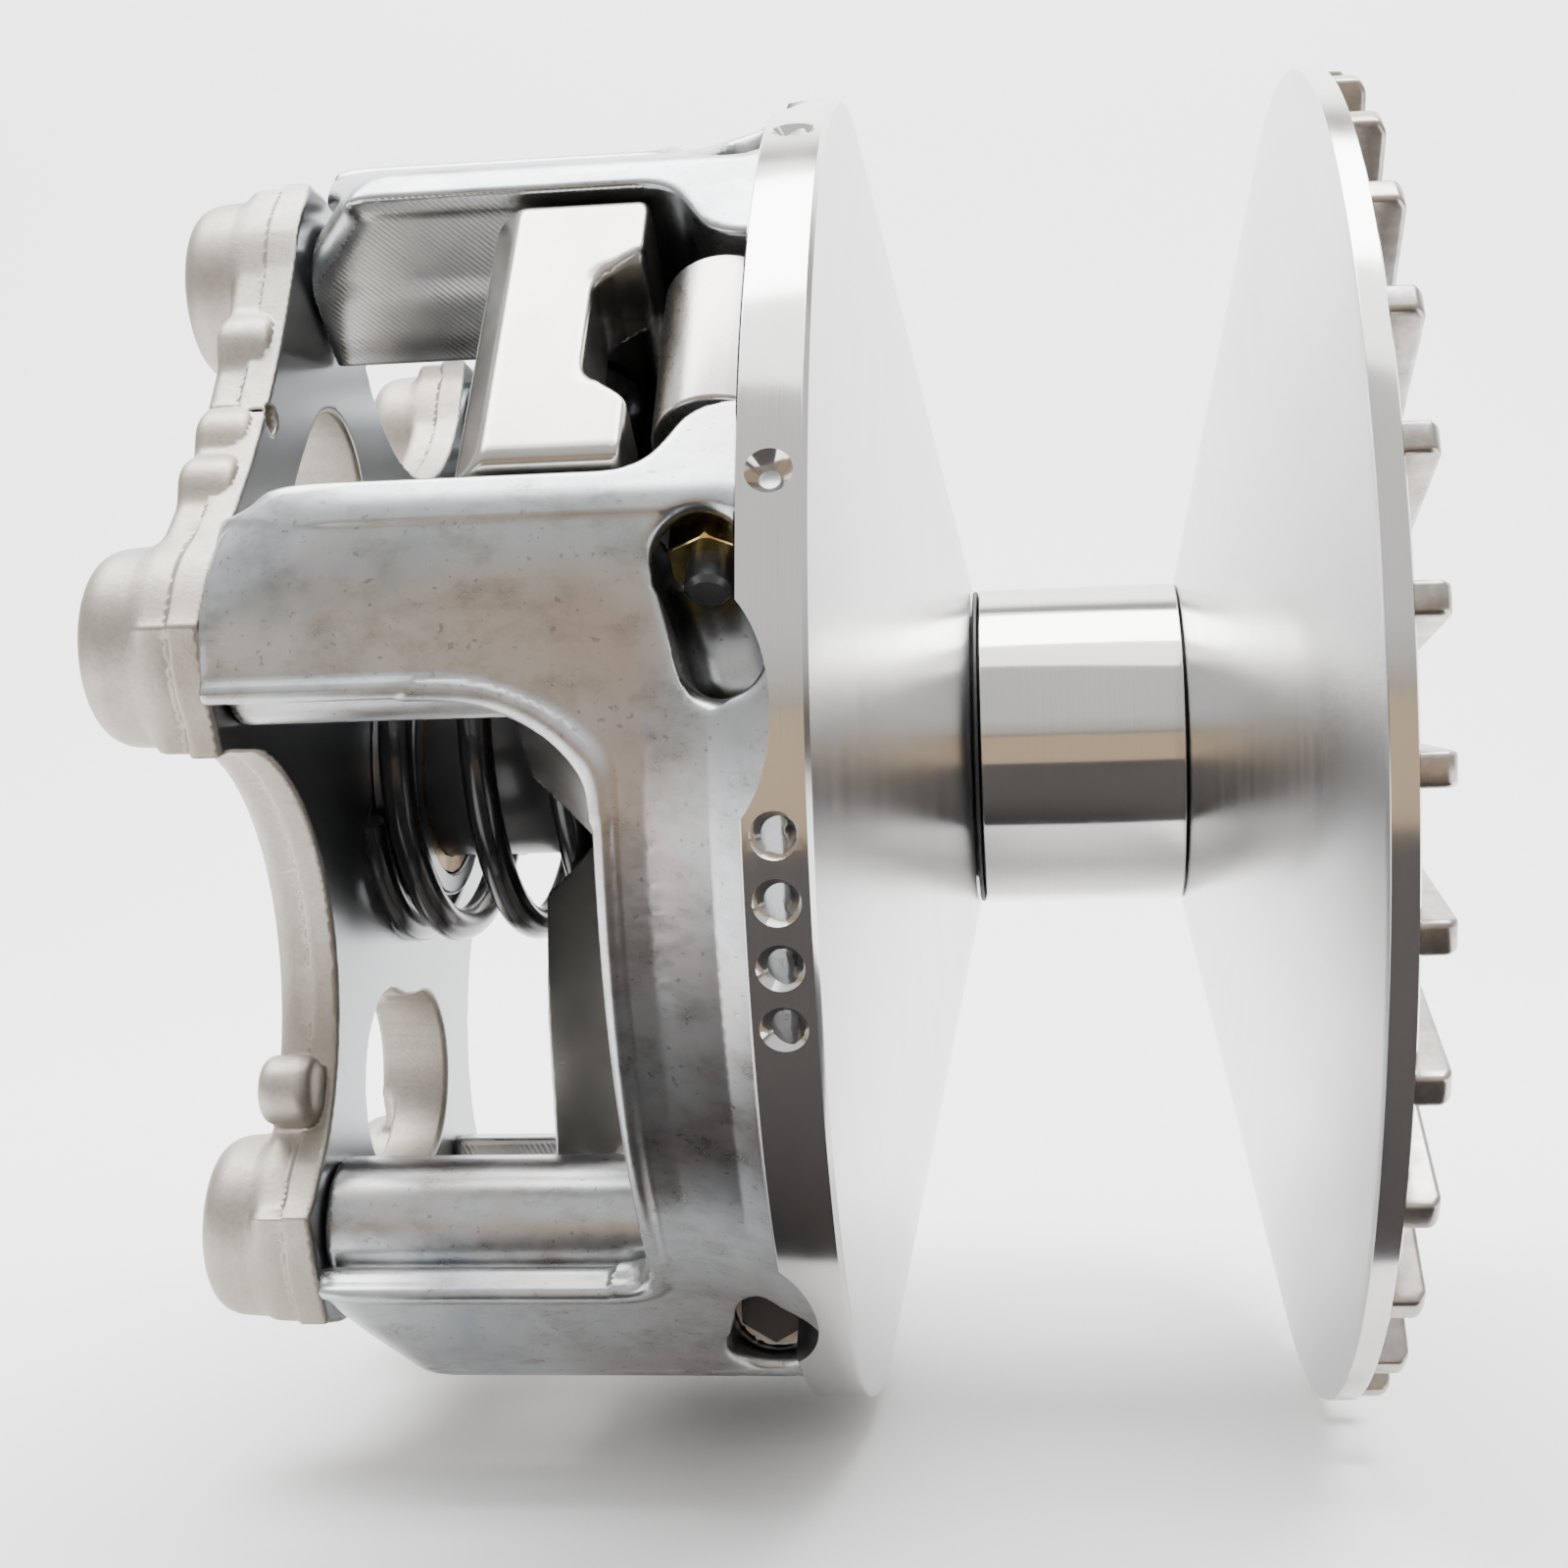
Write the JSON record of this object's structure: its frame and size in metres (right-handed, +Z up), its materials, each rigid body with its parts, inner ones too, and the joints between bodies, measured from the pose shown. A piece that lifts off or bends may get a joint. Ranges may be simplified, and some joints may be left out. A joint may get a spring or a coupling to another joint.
{
  "type": "belt drive clutch",
  "caption": "Driving clutch of a V-belt transmission: fixed and sliding cone sheaves, spider with rollers, flyweights, spring and cover on one shaft.",
  "frame": {"origin": "centre of the crankshaft taper's mouth, on the engine-side end of the shaft", "axes": "+X along the clutch axis out of the taper's mouth, towards the engine; +Z up"},
  "size_m": [0.1713, 0.2032, 0.2032],
  "materials": {
    "turned_aluminium": "finely turned, bright",
    "cast_aluminium": "smooth die-cast, partly machined",
    "blasted_aluminium": "matte, blasted",
    "ground_steel": "ground, bright",
    "milled_steel": "milled, satin",
    "zinc_steel": "zinc plated",
    "yellow_zinc": "yellow zinc plated steel",
    "black_steel": "black oxide",
    "black_spring": "gloss black coating",
    "black_rubber": "matte",
    "black_nylon": "matte",
    "bronze": "plain bearing bronze",
    "brass": "satin"
  },
  "bodies": {
    "shaft": {"main_shaft": "black_steel", "fixed_sheave": "turned_aluminium", "bearing_cage": "brass", "bearing_seal": "black_rubber", "thrust_washer_left": "zinc_steel", "thrust_washer_right": "zinc_steel", "clutch_bolt": "zinc_steel", "clutch_washer": "zinc_steel", "spider": "milled_steel", "spider_lock_nut": "zinc_steel", "primary_spring": "black_spring", "roller_pin_1": "zinc_steel", "slide_button_1a": "black_nylon", "slide_button_1b": "black_nylon", "roller_pin_2": "zinc_steel", "slide_button_2a": "black_nylon", "slide_button_2b": "black_nylon", "roller_pin_3": "zinc_steel", "slide_button_3a": "black_nylon", "slide_button_3b": "black_nylon"},
    "sleeve": {"bearing_sleeve": "ground_steel"},
    "movable": {"movable_sheave": "cast_aluminium", "sheave_bushing": "bronze", "clutch_cover": "blasted_aluminium", "cover_bushing": "bronze", "cover_bolt_1a": "zinc_steel", "cover_bolt_1b": "zinc_steel", "weight_bolt_1": "black_steel", "weight_nut_1": "yellow_zinc", "cover_bolt_2a": "zinc_steel", "cover_bolt_2b": "zinc_steel", "weight_bolt_2": "black_steel", "weight_nut_2": "yellow_zinc", "cover_bolt_3a": "zinc_steel", "cover_bolt_3b": "zinc_steel", "weight_bolt_3": "black_steel", "weight_nut_3": "yellow_zinc"},
    "weight_1": {"flyweight_1": "ground_steel"},
    "roller_body_1": {"roller_1": "ground_steel"},
    "weight_2": {"flyweight_2": "ground_steel"},
    "roller_body_2": {"roller_2": "ground_steel"},
    "weight_3": {"flyweight_3": "ground_steel"},
    "roller_body_3": {"roller_3": "ground_steel"}
  },
  "joints": [
    {"name": "sheave_slide", "type": "slide", "parent": "shaft", "child": "movable", "axis": [1, 0, 0], "range_m": [0, 0.024], "stiffness_N_per_m": 8000, "springref_m": -0.02, "deforming": ["primary_spring"]},
    {"name": "sleeve_spin", "type": "hinge", "parent": "shaft", "child": "sleeve", "pos_m": [-0.043, 0, 0], "axis": [1, 0, 0], "continuous": true},
    {"name": "weight_hinge_1", "type": "hinge", "parent": "movable", "child": "weight_1", "pos_m": [-0.0894, -0.06752, 0.04997], "axis": [0, 0.5948, 0.8039], "range_deg": [0, 46]},
    {"name": "roller_spin_1", "type": "hinge", "parent": "shaft", "child": "roller_body_1", "pos_m": [-0.111, -0.05547, 0.04104], "axis": [0, 0.5948, 0.8039], "continuous": true},
    {"name": "weight_hinge_2", "type": "hinge", "parent": "movable", "child": "weight_2", "pos_m": [-0.0894, 0.07703, 0.03349], "axis": [0, 0.3987, -0.9171], "range_deg": [0, 46]},
    {"name": "roller_spin_2", "type": "hinge", "parent": "shaft", "child": "roller_body_2", "pos_m": [-0.111, 0.06328, 0.02751], "axis": [0, 0.3987, -0.9171], "continuous": true},
    {"name": "weight_hinge_3", "type": "hinge", "parent": "movable", "child": "weight_3", "pos_m": [-0.0894, -0.00951, -0.08346], "axis": [0, -0.9936, 0.1132], "range_deg": [0, 46]},
    {"name": "roller_spin_3", "type": "hinge", "parent": "shaft", "child": "roller_body_3", "pos_m": [-0.111, -0.00781, -0.06856], "axis": [0, -0.9936, 0.1132], "continuous": true}
  ],
  "couplings": [
    {"joint": "weight_hinge_1", "follows": "sheave_slide", "rad_per_m": 33.452},
    {"joint": "weight_hinge_2", "follows": "sheave_slide", "rad_per_m": 33.452},
    {"joint": "weight_hinge_3", "follows": "sheave_slide", "rad_per_m": 33.452}
  ]
}
